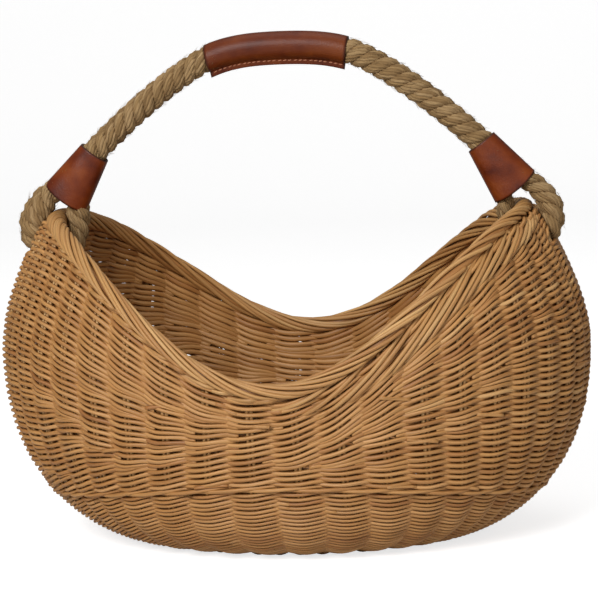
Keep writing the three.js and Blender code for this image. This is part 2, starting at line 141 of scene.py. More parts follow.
ROW_THIN = (0.45, 1.2, 0.6)  # its thickness: with no room, gain with room, and at least
ROW_ENDS = 0.18             # it ends where it has this much of its room
WALE_TIPS, LOOSE_TIPS = 16, 14  # cut rod ends just above the wale, and anywhere above it
TIP_ABOVE = 1.5             # foot of the lowest ones above the upper weave's start
TIP_SPREAD = (0.1, 0.8)     # part of the wall up to the rim that the loose ones take
TIP_RUN = (0.75, 1.2)       # a tip runs this many rod pairs along and rises this far
TIP_OUT = (1.5, 4.3, 1.5)   # it starts this far out, comes this much further, by a power
TIP_GIRTH = (0.85, 1.0)
FIRST_PAIR = math.degrees(STEP / 2)
SPREAD_ANGLE, SPREAD_FADE = 5.6, 11.0  # degrees the first pair stands aside at a tip
SPREAD_RISE = (205.0, 275.0)  # between these heights the uprights move aside
EYE_Z = 301.0               # where the rope passes through the wall
EYE_SPREAD = (0.75, 13.0)   # reach of the parting around it, in rod pairs and millimetres
EYE_PART = 8.0
EYE_TURN = 3.0              # height over which the rows change from parting down to up

# ---- the rolled border ----
BORDER_ROD_R = 2.15
BORDER_VARIES = (0.9, 1.12)
BORDER_TAPER = 0.16         # how much thinner a rod is at its tip
BORDER_RING = 7.3           # distance of the rolled rods from the rim's centre
BORDER_SWELL = 1.2          # more of it at the tips
BORDER_SINK = (2.6, 2.0)    # less of it where a rod tucks in, and at its tip
BORDER_STRAY = 0.5
BORDER_START = -75.0        # degrees around the rim where a rod tucks in; 0 faces outwards
BORDER_TURN = 330.0         # and how far it rolls: inside, over the top and down
ROLL_STATIONS = 5.0         # over this many rod pairs
BORDER_LEAVES = (0.3, 0.42)  # where a pair's first rod leaves the wall, and the other after it
BORDER_FOOT = 0.3           # a rod's start before that place, in rod pairs
BORDER_OUT = 5.4            # how far out of the wall it comes before it tucks in
CLIMB_RANGE = (-0.1, 0.45)  # rim climbs between which a rod's way to the rim grows
BORDER_LEAD = (0.45, 1.5)   # that way in rod pairs: on a level rim, and more on a climbing one
BORDER_DROP = (10, 20)      # how far below the rim it starts, in the same way
CORE_R = BORDER_RING - 2

# ---- the underside ----
BASE_ROWS = 17
BASE_MARGIN = (4, 3)        # it goes this far past the wall's foot, along X and along Y
BASE_LINE = 0.4             # length of its central line over its own length
BASE_WAVE = (0.28, 3.9)     # how its weavers wave sideways in rows, and up and down
BASE_GIRTH = 0.97
BASE_ROD_REACH = (0.05, 1.06)
BASE_ROD_PARTING = (0.3, 2.2)  # a pair's rods part from each other away from the centre
CENTRE_HALF = 74            # the rods along the central line
CENTRE_PITCH = 4.2
CENTRE_WAVE = (3.0, 5.4)    # height of their wave, and its length over 2 pi
CENTRE_R = (2.3, 2.1)

rng = np.random.default_rng(424)


# ---- meshes ----

class Builder:
    """Collects closed tubes and turns them into one mesh object."""

    def __init__(self):
        self.verts, self.faces, self.tints, self.grains = [], [], [], []
        self.count = 0

    def add(self, verts, faces, tint, grain):
        self.verts.append(verts)
        self.faces.extend((np.asarray(face) + self.count) for face in faces)
        self.tints.append(np.broadcast_to(tint, (len(verts),)))
        self.grains.append(grain)
        self.count += len(verts)

    def tube(self, points, side, up, radius_side, radius_up, tint, sides=7, taper=0.0):
        """A closed rod through points; side and up are unit vectors across it."""
        n = len(points)
        turn = np.arange(sides) * 2 * math.pi / sides
        ra = np.broadcast_to(radius_side, (n,)).copy()
        rb = np.broadcast_to(radius_up, (n,)).copy()
        if taper:
            ra[[0, -1]] *= taper
            rb[[0, -1]] *= taper
        ring = (points[:, None, :]
                + (ra[:, None] * np.cos(turn))[:, :, None] * side[:, None, :]
                + (rb[:, None] * np.sin(turn))[:, :, None] * up[:, None, :])
        grain = np.stack(np.broadcast_arrays(
            lengths_along(points)[:, None] + rng.uniform(0, GRAIN_START),
            np.cos(turn) * WEAVER_R, np.sin(turn) * WEAVER_R), axis=-1)
        self.add_rings(ring, grain, tint)

    def add_rings(self, ring, grain, tint):
        n, sides = ring.shape[:2]
        quads = ring_quads(np.arange(n - 1), np.arange(1, n), sides)
        caps = [list(range(sides - 1, -1, -1)), list(range((n - 1) * sides, n * sides))]
        self.add(ring.reshape(-1, 3), list(quads) + caps, tint, grain.reshape(-1, 3))

    def make(self, name, material):
        verts = np.concatenate(self.verts)
        sizes = np.array([len(face) for face in self.faces])
        mesh = bpy.data.meshes.new(name)
        mesh.vertices.add(len(verts))
        mesh.vertices.foreach_set("co", (verts * MM).astype(np.float32).ravel())
        mesh.loops.add(int(sizes.sum()))
        mesh.loops.foreach_set("vertex_index", np.concatenate(self.faces).astype(np.int32))
        mesh.polygons.add(len(sizes))
        starts = np.concatenate([[0], np.cumsum(sizes)[:-1]]).astype(np.int32)
        mesh.polygons.foreach_set("loop_start", starts)
        mesh.polygons.foreach_set("use_smooth", np.ones(len(sizes), bool))
        mesh.update(calc_edges=True)
        mesh.validate()
        tint = mesh.attributes.new("tint", "FLOAT", "POINT")
        tint.data.foreach_set("value", np.concatenate(self.tints).astype(np.float32))
        grain = mesh.attributes.new("grain", "FLOAT_VECTOR", "POINT")
        grain.data.foreach_set(
            "vector", (np.concatenate(self.grains) * MM).astype(np.float32).ravel())
        mesh.materials.append(material)
        return add_object(name, mesh)


def add_object(name, data):
    obj = bpy.data.objects.new(name, data)
    bpy.context.scene.collection.objects.link(obj)
    return obj


def ring_quads(rings, after, sides):
    """Four-cornered faces between each of some rings of points and the ring after it."""
    i, after = rings[:, None] * sides, after[:, None] * sides
    j = np.arange(sides)
    k = (j + 1) % sides
    return np.stack([i + j, i + k, after + k, after + j], axis=-1).reshape(-1, 4)


def unit(vectors):
    return vectors / np.linalg.norm(vectors, axis=-1, keepdims=True)


def lengths_along(points):
    """Distance of every point from the first, along the line."""
    steps = np.linalg.norm(np.diff(points, axis=0), axis=1)
    return np.concatenate([[0], np.cumsum(steps)])


def across_axes(points, side):
    """Unit vectors across a path: one as near as possible to side, and one square to it."""
    along = unit(np.gradient(points, axis=0))
    near = unit(side - along * np.sum(side * along, axis=1, keepdims=True))
    return near, np.cross(along, near)


def smoothstep(x, low, high):
    t = np.clip((x - low) / (high - low), 0, 1)
    return t * t * (3 - 2 * t)


# ---- the shape of the wall ----

def half_length(z):
    below = np.clip((WIDEST_Z - z) / WIDEST_Z, 0, 1)
    belly = (1 - below ** BELLY_POWER[0]) ** BELLY_POWER[1]
    low = BASE_HALF_LENGTH + (HALF_LENGTH - BASE_HALF_LENGTH) * belly
    above = np.clip((z - WIDEST_Z) / (SHOULDER_LEVEL - WIDEST_Z), 0, 2)
    high = HALF_LENGTH - SHOULDER_DROP * above ** SHOULDER_POWER[0]
    high = high - SHOULDER_HOOK * above ** SHOULDER_POWER[1]
    return np.where(z < WIDEST_Z, low, high)


def gathered(angle, z):
    """Low down, the uprights' lines stay spaced out at front and back and crowd at the ends."""
    below = np.clip((WIDEST_Z - z) / WIDEST_Z, 0, 1)
    crowd = np.sin(2 * angle) - BASE_GATHER[1] * np.sin(4 * angle)
    return angle - BASE_GATHER[0] * below ** GATHER_POWER * crowd


def outer_point(z, line_angle):
    half = half_length(z)
    angle = gathered(line_angle, z)
    x = half * np.cos(angle)
    rise = smoothstep(z, WIDEST_Z, SHOULDER_LEVEL)
    reach = np.minimum(1, np.abs(x) / PINCH_REACH)
    y = half * DEPTH_RATIO * np.sin(angle) * (1 - TIP_PINCH * rise * reach ** 2)
    return np.stack([x, y, z + 0 * x], axis=-1)


def outer_normal(z, angle):
    z = np.maximum(z, 0.4)
    up = outer_point(z + 0.3, angle) - outer_point(z - 0.3, angle)
    around = outer_point(z, angle + 0.003) - outer_point(z, angle - 0.003)
    return unit(np.cross(around, up))


def make_height_table():
    """Height on the outer surface as a table over (u, s)."""
    angles = np.arange(PAIRS * SUB + 1) * STEP / SUB
    levels = np.concatenate([WIDEST_Z * np.linspace(0, 1, TABLE_LEVELS) ** 2,
                             np.linspace(WIDEST_Z, SHOULDER_LEVEL + TABLE_OVER, TABLE_LEVELS)[1:]])
    grid = outer_point(levels[None, :], angles[:, None])
    length = np.cumsum(np.linalg.norm(np.diff(grid, axis=1), axis=-1), axis=1)
    length = np.concatenate([np.zeros((len(angles), 1)), length], axis=1)
    s = np.arange(0, WALL_REACH)
    return np.stack([np.interp(s, row, levels) for row in length])


HEIGHTS = make_height_table()


def height_at(u, s):
    u = np.mod(u, PAIRS) * SUB
    s = np.clip(s, 0, HEIGHTS.shape[1] - 1.001)
    i, j = np.floor(u).astype(int), np.floor(s).astype(int)
    i = np.minimum(i, PAIRS * SUB - 1)
    fu, fs = u - i, s - j
    low = HEIGHTS[i, j] * (1 - fs) + HEIGHTS[i, j + 1] * fs
    high = HEIGHTS[i + 1, j] * (1 - fs) + HEIGHTS[i + 1, j + 1] * fs
    return low * (1 - fu) + high * fu


def wall(u, s, out=0.0):
    """Points and outward normals on the wall, out millimetres outside its middle."""
    u, s, out = np.broadcast_arrays(u, s, out)
    z = height_at(u, s)
    normal = outer_normal(z, u * STEP)
    return outer_point(z, u * STEP) + normal * (out - WALL_DEPTH)[..., None], normal


def rim_centre_z(x, angle):
    wave = np.cos(math.pi * np.minimum(np.abs(x), RIM_WAVE_HALF) / RIM_WAVE_HALF)
    dip = RIM_FRONT_DIP * np.maximum(0, -np.sin(angle)) ** 6
    return RIM_TOP_LOW - RIM_R - dip + (RIM_WAVE_TOP - RIM_TOP_LOW) * (1 - wave) / 2


def make_rim_table():
    """How far up the wall the rim's centre is, around the basket."""
    u = np.arange(PAIRS * SUB + 1) / SUB
    s = np.arange(*RIM_SEARCH)
    points, _ = wall(u[:, None], s[None, :])
    above = points[..., 2] > rim_centre_z(points[..., 0], u[:, None] * STEP)
    return u, s[np.argmax(above, axis=1)].astype(float)


EYE_S = float(np.interp(EYE_Z, HEIGHTS[0], np.arange(HEIGHTS.shape[1])))
RIM_U, RIM_S = make_rim_table()
RIM_S = np.convolve(np.concatenate([RIM_S[-5:-1], RIM_S, RIM_S[1:5]]), np.ones(9) / 9, "valid")


def rim_s(u):
    return np.interp(np.mod(u, PAIRS), RIM_U, RIM_S)


def rim_lean(u):
    """Sine of the angle between the rim and the upright rods that meet it."""
    along = wall(u + 0.05, rim_s(u + 0.05))[0] - wall(u - 0.05, rim_s(u - 0.05))[0]
    up = wall(u, rim_s(u) + 2)[0] - wall(u, rim_s(u) - 2)[0]
    return np.linalg.norm(np.cross(unit(along), unit(up)), axis=-1)


def rim_climb(u):
    """How steeply the rim climbs on the way around, from -1 to 1."""
    ahead = wall(u + 0.2, rim_s(u + 0.2))[0]
    behind = wall(u - 0.2, rim_s(u - 0.2))[0]
    return unit(ahead - behind)[..., 2]


def rim_place(u, out, up):
    """A point beside the rim: out of the wall and up from the rim's centre line."""
    setback = TIP_SETBACK * np.cos(u * STEP) ** TIP_POWER * smoothstep(up, *SETBACK_RISE)
    return wall(u, rim_s(u) + up / rim_lean(u), out - setback)


# ---- the weavers ----

def rod_tint():
    """Most rods are much alike; a few are clearly paler or redder."""
    return float(np.clip(rng.normal(0.5, 0.17), 0, 1))


def weaver(build, u, s, phase, tint, pitch, radius, sag=0.0, swing=1.0):
    """One weaver of a row: out over every other rod pair and in behind the next."""
    turn = math.pi * (u - 0.5) + phase
    wave = WEAVE_WAVE[0] * np.cos(turn) + WEAVE_WAVE[1] * np.cos(3 * turn)
    out = swing * WEAVE_OUT * wave
    front = (1 + np.cos(turn)) / 2
    rise = (pitch / 2 - WEAVER_R * CROSSING) * np.sin(turn) - BEHIND_DROP * (1 - front)
    level = around_eye(u, s + rise - sag * front)
    points, normal = wall(spread(u, level), level, out)
    flat = 1 - front
    thick = radius * (1 + (BEHIND_FLAT[0] - 1) * flat)
    high = radius * (1 + (BEHIND_FLAT[1] - 1) * flat)
    place(build, points, normal, tint, thick, high)


def place(build, points, normal, tint, thick, high, sides=7):
    """A rod lying along the wall, thick across it and high along it."""
    along = unit(np.gradient(points, axis=0))
    up = unit(np.cross(along, normal))
    build.tube(points, unit(np.cross(up, along)), up, thick, high, tint, sides)


def wobble(size):
    """A gentle random waviness that closes around the basket."""
    turns = rng.integers(*WOBBLE_WAVES, 3)
    shift = rng.uniform(0, 2 * math.pi, 3)

    def wave(u):
        return size * sum(np.sin(k * u * STEP + p) for k, p in zip(turns, shift)) / WOBBLE_SUM

    return wave


def spread(u, s):
    """The upright rods near a tip stand aside for the rope, and the weave goes with them."""
    angle = u * STEP
    from_tip = np.degrees(np.arcsin(np.abs(np.sin(angle))))
    high = smoothstep(height_at(u, s), *SPREAD_RISE)
    amount = np.radians(SPREAD_ANGLE) * high * np.exp((FIRST_PAIR - from_tip) / SPREAD_FADE)
    side = np.clip(np.sin(angle) / math.sin(math.radians(FIRST_PAIR)), -1, 1)
    return u + amount * side * np.sign(np.cos(angle)) / STEP


def around_eye(u, s):
    """Rows next to a rope eye part to let the rope through."""
    from_tip = np.mod(u + PAIRS / 4, PAIRS / 2) - PAIRS / 4
    above = s - EYE_S
    near = np.exp(-((from_tip / EYE_SPREAD[0]) ** 2) - (above / EYE_SPREAD[1]) ** 2)
    return s + EYE_PART * near * np.tanh(above / EYE_TURN)


def weave_row(build, u_start, u_end, s_at, pitch, girth_at, **shape):
    """A row of two weavers between two places, made of several rods each."""
    wave = wobble(ROW_WOBBLE)
    for side in (0, 1):
        begin = u_start
        while begin < u_end - 0.5:
            end = min(u_end, begin + rng.integers(*ROD_REACH))
            if u_end - end < ROD_SHORTEST:
                end = u_end
            u = np.arange(round(begin * SUB) - 2, round(end * SUB) + 3) / SUB
            size = WEAVER_R * rng.uniform(*ROD_VARIES) * girth_at(u)
            weaver(build, u, s_at(u) + wave(u), side * math.pi, rod_tint(), pitch, size, **shape)
            begin = end


def in_parts(name, parts, count, material, add):
    """Several objects that share out the items 0 to count between them, in order."""
    pieces = []
    for part in range(parts):
        build = Builder()
        for item in range(part * count // parts, (part + 1) * count // parts):
            add(build, item)
        pieces.append(build.make(f"{name}_{part + 1}", material))
    return pieces


def add_lower_row(build, row):
    level = LOWER_PITCH * (row + 0.5)
    start = rng.integers(0, PAIRS)
    sag = LOWER_SAG * min(1, row / LOWER_EASE[0])
    swing = LOWER_SWING + (1 - LOWER_SWING) * min(1, row / LOWER_EASE[1])
    weave_row(build, start, start + PAIRS, lambda u: level + 0 * u, LOWER_PITCH,
              lambda u: LOWER_GIRTH, sag=sag, swing=swing)


def build_wale(material):
    """Three rods that wind around each other at the top of the lower wall."""
    build = Builder()
    level = LOWER_PITCH * LOWER_ROWS + WALE_UP
    u = np.arange(0, PAIRS * SUB + 3) / SUB
    for strand in range(3):
        turn = 2 * math.pi * (u / 3 + strand / 3)
        points, normal = wall(u, level + WALE_WIND[0] * np.sin(turn),
                              WALE_OUT + WALE_WIND[1] * np.cos(turn))
        place(build, points, normal, rod_tint(), WEAVER_R * WALE_GIRTH, WEAVER_R * WALE_GIRTH)
    return build.make("wale", material)


def build_tips(material):
    """Cut ends of rods that stand out of the weave, most of them just above the wale."""
    build = Builder()
    for k in range(WALE_TIPS + LOOSE_TIPS):
        u0 = rng.uniform(0, PAIRS)
        s0 = UPPER_START + TIP_ABOVE
        if k >= WALE_TIPS:
            s0 += rng.uniform(*TIP_SPREAD) * (rim_s(u0) - s0)
        t = np.linspace(0, 1, 7)
        direction = rng.choice([-1, 1])
        u = u0 + direction * TIP_RUN[0] * t
        out = TIP_OUT[0] + TIP_OUT[1] * t ** TIP_OUT[2]
        points, normal = wall(u, s0 + TIP_RUN[1] * t, out)
        size = WEAVER_R * rng.uniform(*TIP_GIRTH)
        place(build, points, normal, rod_tint(), size, size)
    return build.make("cut_tips", material)


def upper_room(u):
    """Height of the upper weave between the wale and the rim."""
    return rim_s(u) - UPPER_STOP / rim_lean(u) - UPPER_START


def make_upper_rows():
    """Which rows run all the way around, and where each short row gives out.

    The short rows fill the wedges towards the tips. Going around the basket, the rows rise
    slowly on the way to a tip and fall away quickly after it: before a tip the low short rows
    are mostly the long ones, and after it the high ones.
    """
    tip_rows = int(upper_room(np.array(0.0)) / UPPER_PITCH)
    full_rows = int(upper_room(np.array(PAIRS / 4)) / UPPER_PITCH)
    between = np.linspace(LOW_FULL_ROWS, tip_rows - HIGH_FULL_ROWS - 1,
                          full_rows - LOW_FULL_ROWS - HIGH_FULL_ROWS + 2)[1:-1].astype(int)
    full = {*range(LOW_FULL_ROWS), *between, *range(tip_rows - HIGH_FULL_ROWS, tip_rows)}
    short = [row for row in range(tip_rows) if row not in full]
    ranks = []
    for quarter in range(4):
        rank = np.arange(len(short)) + rng.uniform(-ROW_SCATTER, ROW_SCATTER, len(short))
        if quarter in AFTER_TIP:
            rank = -rank
        ranks.append(dict(zip(short, np.argsort(np.argsort(rank)))))
    return tip_rows, full_rows, ranks


def build_upper(material):
    tip_rows, full_rows, ranks = make_upper_rows()
    u = np.arange(PAIRS * SUB) / SUB
    room = upper_room(u)
    short_count = room / UPPER_PITCH - full_rows
    quarter = (u // (PAIRS / 4)).astype(int) % 4
    window = 2 * ROW_BLUR + 1
    weights = np.ones((tip_rows, len(u)))
    for row in ranks[0]:
        rank = np.array([ranks[q][row] for q in quarter])
        sharp = smoothstep(short_count, rank + ROW_FADE[0], rank + ROW_FADE[1])
        padded = np.pad(sharp, ROW_BLUR, mode="wrap")
        weights[row] = np.convolve(padded, np.ones(window) / window, "valid")
    part_up = (np.cumsum(weights, axis=0) - weights / 2) / weights.sum(axis=0)
    levels = UPPER_START + room * part_up
    thin, gain, least = ROW_THIN

    def add_row(build, row):
        girth = around_table(np.clip(thin + gain * weights[row], least, 1))
        for begin, end in row_spans(weights[row]):
            weave_row(build, begin, end, around_table(levels[row]), UPPER_PITCH, girth)

    return in_parts("upper_weave", 4, tip_rows, material, add_row)


def around_table(values):
    """A function of u from values at every sample around the basket."""
    u = np.arange(PAIRS * SUB + 1) / SUB
    return lambda v: np.interp(np.mod(v, PAIRS), u, np.append(values, values[0]))


def row_spans(weight):
    """Stretches of u where a row is present, each ending at a rod pair."""
    present = weight > ROW_ENDS
    if present.all():
        start = int(rng.integers(0, PAIRS))
        return [(start, start + PAIRS)]
    count = len(present)
    starts = [i for i in range(count) if present[i] and not present[i - 1]]
    spans = []
    for start in starts:
        end = start
        while present[end % count]:
            end += 1
        begin_u = round(start / SUB)
        end_u = round(end / SUB)
        if end_u - begin_u >= 2:
            spans.append((begin_u, end_u))
    return spans


# ---- upright rods, base and border ----

def build_stakes(material):
    build = Builder()
    for pair in range(PAIRS):
        for half in (-1, 1):
            u0 = pair + 0.5
            s = np.arange(0, rim_s(u0) - STAKE_STOP, STAKE_STEP)
            u = spread(np.full(len(s), u0), s)
            points, normal = wall(u, s, STAKE_OUT)
            across = unit(wall(u + 0.05, s)[0] - wall(u - 0.05, s)[0])
            points = points + across * half * (STAKE_R + PAIR_GAP)
            build.tube(points, normal, across, STAKE_R, STAKE_R, rng.random(), 6)
    return build.make("upright_rods", material)


def build_rim_core(material):
    build = Builder()
    u = np.arange(PAIRS * 4 + 1) / 4
    points, normal = rim_place(u, 0, 0)
    along = unit(np.gradient(points, axis=0))
    up = unit(np.cross(along, normal))
    build.tube(points, normal, up, CORE_R, CORE_R, 0.1, 10)
    return build.make("rim_core", material)


def add_border_pair(build, pair):
    """A pair's rod ends: out of the wall, under the rim, up its inside, over the top and down."""
    for half in (0, 1):
        add_border_rod(build, pair + BORDER_LEAVES[0] + BORDER_LEAVES[1] * half)


def add_border_rod(build, u0):
    """t runs along the rod in rod pairs: it reaches the rim's centre line at lead, then rolls."""
    climbing = float(smoothstep(rim_climb(np.array(u0)), *CLIMB_RANGE))
    lead = BORDER_LEAD[0] + BORDER_LEAD[1] * climbing + rng.uniform(-0.1, 0.1)
    drop = BORDER_DROP[0] + BORDER_DROP[1] * climbing + rng.uniform(-2, 3)
    t = np.concatenate([np.linspace(-BORDER_FOOT, lead, 20),
                        np.linspace(lead, lead + ROLL_STATIONS, 52)[1:]])
    roll = np.clip((t - lead) / ROLL_STATIONS, 0, 1)
    angle = np.radians(BORDER_START - BORDER_TURN * roll)
    ring = border_ring(u0, roll) + rng.uniform(-BORDER_STRAY, BORDER_STRAY)
    leaving = smoothstep(t, -BORDER_FOOT, 0.25 + 0.2 * climbing)
    tucking = smoothstep(t, 0.55 * lead, lead)
    out = BORDER_OUT * leaving * (1 - tucking) + ring * np.cos(angle) * tucking
    start_up = ring[0] * math.sin(math.radians(BORDER_START))
    climb = np.clip((t + BORDER_FOOT) / (lead + BORDER_FOOT), 0, 1)
    up = np.where(t < lead, -drop + (start_up + drop) * climb, ring * np.sin(angle))
    points, normal = rim_place(u0 + t, out, up)
    size = BORDER_ROD_R * rng.uniform(*BORDER_VARIES) * (1 - BORDER_TAPER * roll)
    build.tube(points, *across_axes(points, normal), size, size, rod_tint(), 8, taper=0.7)


def border_ring(u0, roll):
    """Distance of a rolling rod from the rim's centre, through its roll from 0 to 1."""
    swell = BORDER_SWELL * math.cos(u0 * STEP) ** TIP_POWER
    sink = BORDER_SINK[0] * (1 - smoothstep(roll, 0, 0.3))
    return BORDER_RING + swell - sink - BORDER_SINK[1] * smoothstep(roll, 0.9, 1)


def base_point(u, f):
    """On the flat underside: f runs from the central line to the edge."""
    angle = u * STEP
    x = (BASE_HALF_LENGTH + BASE_MARGIN[0]) * np.cos(angle)
    y = (BASE_HALF_LENGTH * DEPTH_RATIO + BASE_MARGIN[1]) * np.sin(angle)
    along = BASE_LINE + (1 - BASE_LINE) * f
    return np.stack([x * along, y * f, np.full(np.shape(angle), 0.0)], axis=-1)


def build_base(material):
    build = Builder()
    for row in range(1, BASE_ROWS + 1):
        start = int(rng.integers(0, PAIRS))
        for side in (0, 1):
            u = np.arange(start * SUB, (start + PAIRS) * SUB + 3) / SUB
            turn = math.pi * (u - 0.5) + side * math.pi
            f = (row - 0.5 + BASE_WAVE[0] * np.sin(turn)) / BASE_ROWS
            points = base_point(u, f)
            points[:, 2] = WALL_DEPTH - BASE_WAVE[1] * np.cos(turn)
            normal = np.tile([0.0, 0.0, -1.0], (len(u), 1))
            place(build, points, normal, rod_tint(), WEAVER_R * BASE_GIRTH,
                  WEAVER_R * BASE_GIRTH, 6)
    return build.make("base_weave", material)


def build_base_rods(material):
    build = Builder()
    steps = 8
    down = np.tile([0.0, 0.0, -1.0], (steps, 1))
    for pair in range(PAIRS):
        for half in (-1, 1):
            f = np.linspace(*BASE_ROD_REACH, steps)
            points = base_point(np.full(steps, pair + 0.5), f)
            across = unit(base_point(np.full(steps, pair + 0.6), f) - points)
            parting = np.minimum(STAKE_R, BASE_ROD_PARTING[0] + BASE_ROD_PARTING[1] * f)
            points = points + across * half * parting[:, None]
            points[:, 2] = WALL_DEPTH
            build.tube(points, down, across, STAKE_R, STAKE_R, rng.random(), 6)
    height, reach = CENTRE_WAVE
    for line in range(-3, 4):
        x = np.linspace(-CENTRE_HALF, CENTRE_HALF, 40)
        z = WALL_DEPTH + height * np.sign(line % 2 - 0.5) * np.cos(x / reach)
        points = np.stack([x, np.full(40, line * CENTRE_PITCH), z], axis=-1)
        build.tube(points, *across_axes(points, Y_AXIS), *CENTRE_R, rng.random(), 7, taper=0.8)
    return build.make("base_rods", material)


# ---- the rope ----

# The rope's path at the +X end, as (x, z) in the plane y = 0. The other end mirrors it, with
# its own shift and thickness of the eye.
HALF_BOW = [(45, 489.5), (74, 481.5), (104, 464.5), (134, 443), (165, 417.5), (193, 392),
            (212, 374), (230, 359), (247, 346)]
BOW_TOP = (0, 492.3)
EYE = [(256.5, 335.5), (261, 326), (261.5, 317), (258.5, 305), (249, 296.5), (236, 293),
       (225, 296.5), (218.5, 307), (216.5, 320), (216.5, 334), (213.5, 348), (206.5, 362),
       (197, 377)]
EYE_SHIFT = {"left": 4.0, "right": 1.5}  # how much nearer the middle each eye hangs
# Thickness of the rope against the plain rope, at distances from its end in the cuff:
# down the inner leg, around the eye and up the outer leg.
EYE_REACH = (0, 34, 50, 66, 98, 130, 154, 176, 225)
EYE_GIRTH = {"left": (0.6, 0.64, 1.0, 0.77, 0.83, 1.3, 1.27, 0.92, 1.0),
             "right": (0.64, 0.68, 0.72, 0.68, 0.83, 1.06, 0.97, 0.82, 1.0)}
UNDER_GRIP = ((-73, -64, 50, 60), (1, 0.82, 0.82, 1))  # squeezed by the grip, from mid-length
ROPE_STEP = 3.2
ROPE_LAY = 39.0             # one turn of the three strands
YARN_LAY = 60.0             # and of the yarns in a strand, the other way
YARNS = 10
ROPE_SWELL = 1.16           # the three strands stand proud of the frame's round rope
YARN_R = 1.75
YARN_UNEVEN = (0.07, 7.0, 2.3)  # share, length over 2 pi and shift by yarn of its waves
FIBRES = 2200
FIBRE_R = 0.13
FIBRE_FOOT = 0.9            # where fibres start, against the rope's radius
FIBRE_LIFT = (0.8, 3.2)     # how far they stand off, turn and run along the rope
FIBRE_TURN = (0.1, 0.7)
FIBRE_RUN = (3, 9)


def line_at(t, t0, t1, start, end):
    """The place at t on a line that is at start when t is t0 and at end when it is t1."""
    return (t1 - t) / (t1 - t0) * start + (t - t0) / (t1 - t0) * end


def curve_through(points, spacing):
    """Evenly spaced points on a smooth (centripetal Catmull-Rom) curve through the given ones."""
    p = np.asarray(points, float)
    p = np.concatenate([[2 * p[0] - p[1]], p, [2 * p[-1] - p[-2]]])
    knots = np.concatenate([[0], np.cumsum(np.linalg.norm(np.diff(p, axis=0), axis=1) ** 0.5)])
    dense = []
    for i in range(1, len(p) - 2):
        t0, t1, t2, t3 = knots[i - 1:i + 3]
        t = np.linspace(t1, t2, 30, endpoint=False)[:, None]
        before = line_at(t, t0, t1, p[i - 1], p[i])
        middle = line_at(t, t1, t2, p[i], p[i + 1])
        after = line_at(t, t2, t3, p[i + 1], p[i + 2])
        first = line_at(t, t0, t2, before, middle)
        second = line_at(t, t1, t3, middle, after)
        dense.append(line_at(t, t1, t2, first, second))
    dense = np.concatenate(dense + [p[-2:-1]])
    length = lengths_along(dense)
    steps = max(2, round(length[-1] / spacing))
    even = np.linspace(0, length[-1], steps + 1)
    return np.stack([np.interp(even, length, dense[:, k]) for k in range(dense.shape[1])], axis=-1)


def rope_path(spacing):
    left, right = ([(x - EYE_SHIFT[side], z) for x, z in EYE] for side in ("left", "right"))
    flat = [(-x, z) for x, z in (HALF_BOW + left)[::-1]] + [BOW_TOP] + HALF_BOW + right
    return curve_through([(x, 0, z) for x, z in flat], spacing)


def grip_squeeze(length):
    return np.interp(length - length[-1] / 2, *UNDER_GRIP)


def rope_girth(length):
    """Thickness of the rope along its length, against the frame's round rope."""
    left = np.interp(length, EYE_REACH, EYE_GIRTH["left"])
    right = np.interp(length[-1] - length, EYE_REACH, EYE_GIRTH["right"])
    plain = np.where(length < length[-1] / 2, left, right)
    return ROPE_SWELL * (plain * grip_squeeze(length))


def beside(points, axes, radius, turn):
    side, up = axes
    return points + side * (radius * np.cos(turn))[:, None] + up * (radius * np.sin(turn))[:, None]


def build_rope(material):
    """Three strands laid to the left, each of yarns twisted to the right."""
    build = Builder()
    path = rope_path(ROPE_STEP)
    length = lengths_along(path)
    girth = rope_girth(length)
    strand_ring = ROPE_RADIUS * 0.5 * girth
    yarn_ring = (ROPE_RADIUS * 0.5 - YARN_R) * girth
    share, period, offset = YARN_UNEVEN
    for strand in range(3):
        turn = 2 * math.pi * (strand / 3 - length / ROPE_LAY)
        centre = beside(path, across_axes(path, Y_AXIS), strand_ring, turn)
        for yarn in range(YARNS):
            own = 2 * math.pi * (yarn / YARNS + length / YARN_LAY)
            points = beside(centre, across_axes(centre, Y_AXIS), yarn_ring, own)
            size = YARN_R * girth * (1 + share * np.sin(length / period + offset * yarn))
            build.tube(points, *across_axes(points, Y_AXIS), size, size, rng.random(), 6)
    return build.make("rope", material)


def build_fuzz(material):
    """Short fibres that stand off the rope, except under the grip."""
    build = Builder()
    path = rope_path(ROPE_STEP)
    side, up = across_axes(path, Y_AXIS)
    length = lengths_along(path)
    surface = ROPE_RADIUS * FIBRE_FOOT * rope_girth(length)
    covered = grip_squeeze(length) < 1
    reach = np.linspace(0, 1, 4)
    for _ in range(FIBRES):
        i = int(rng.integers(4, len(path) - 6))
        if covered[i]:
            continue
        turn = rng.uniform(0, 2 * math.pi)
        lift = surface[i] + reach ** 1.5 * rng.uniform(*FIBRE_LIFT)
        sweep = turn - reach * rng.uniform(*FIBRE_TURN)
        run = reach * rng.uniform(*FIBRE_RUN)
        centre = path[i] + unit(path[i + 1] - path[i]) * run[:, None]
        points = beside(centre, (side[i], up[i]), lift, sweep)
        axes = across_axes(points, side[i] + 0.3 * up[i])
        build.tube(points, *axes, FIBRE_R, FIBRE_R, rng.random(), 3, taper=0.5)
    return build.make("rope_fibres", material)


# ---- leather ----

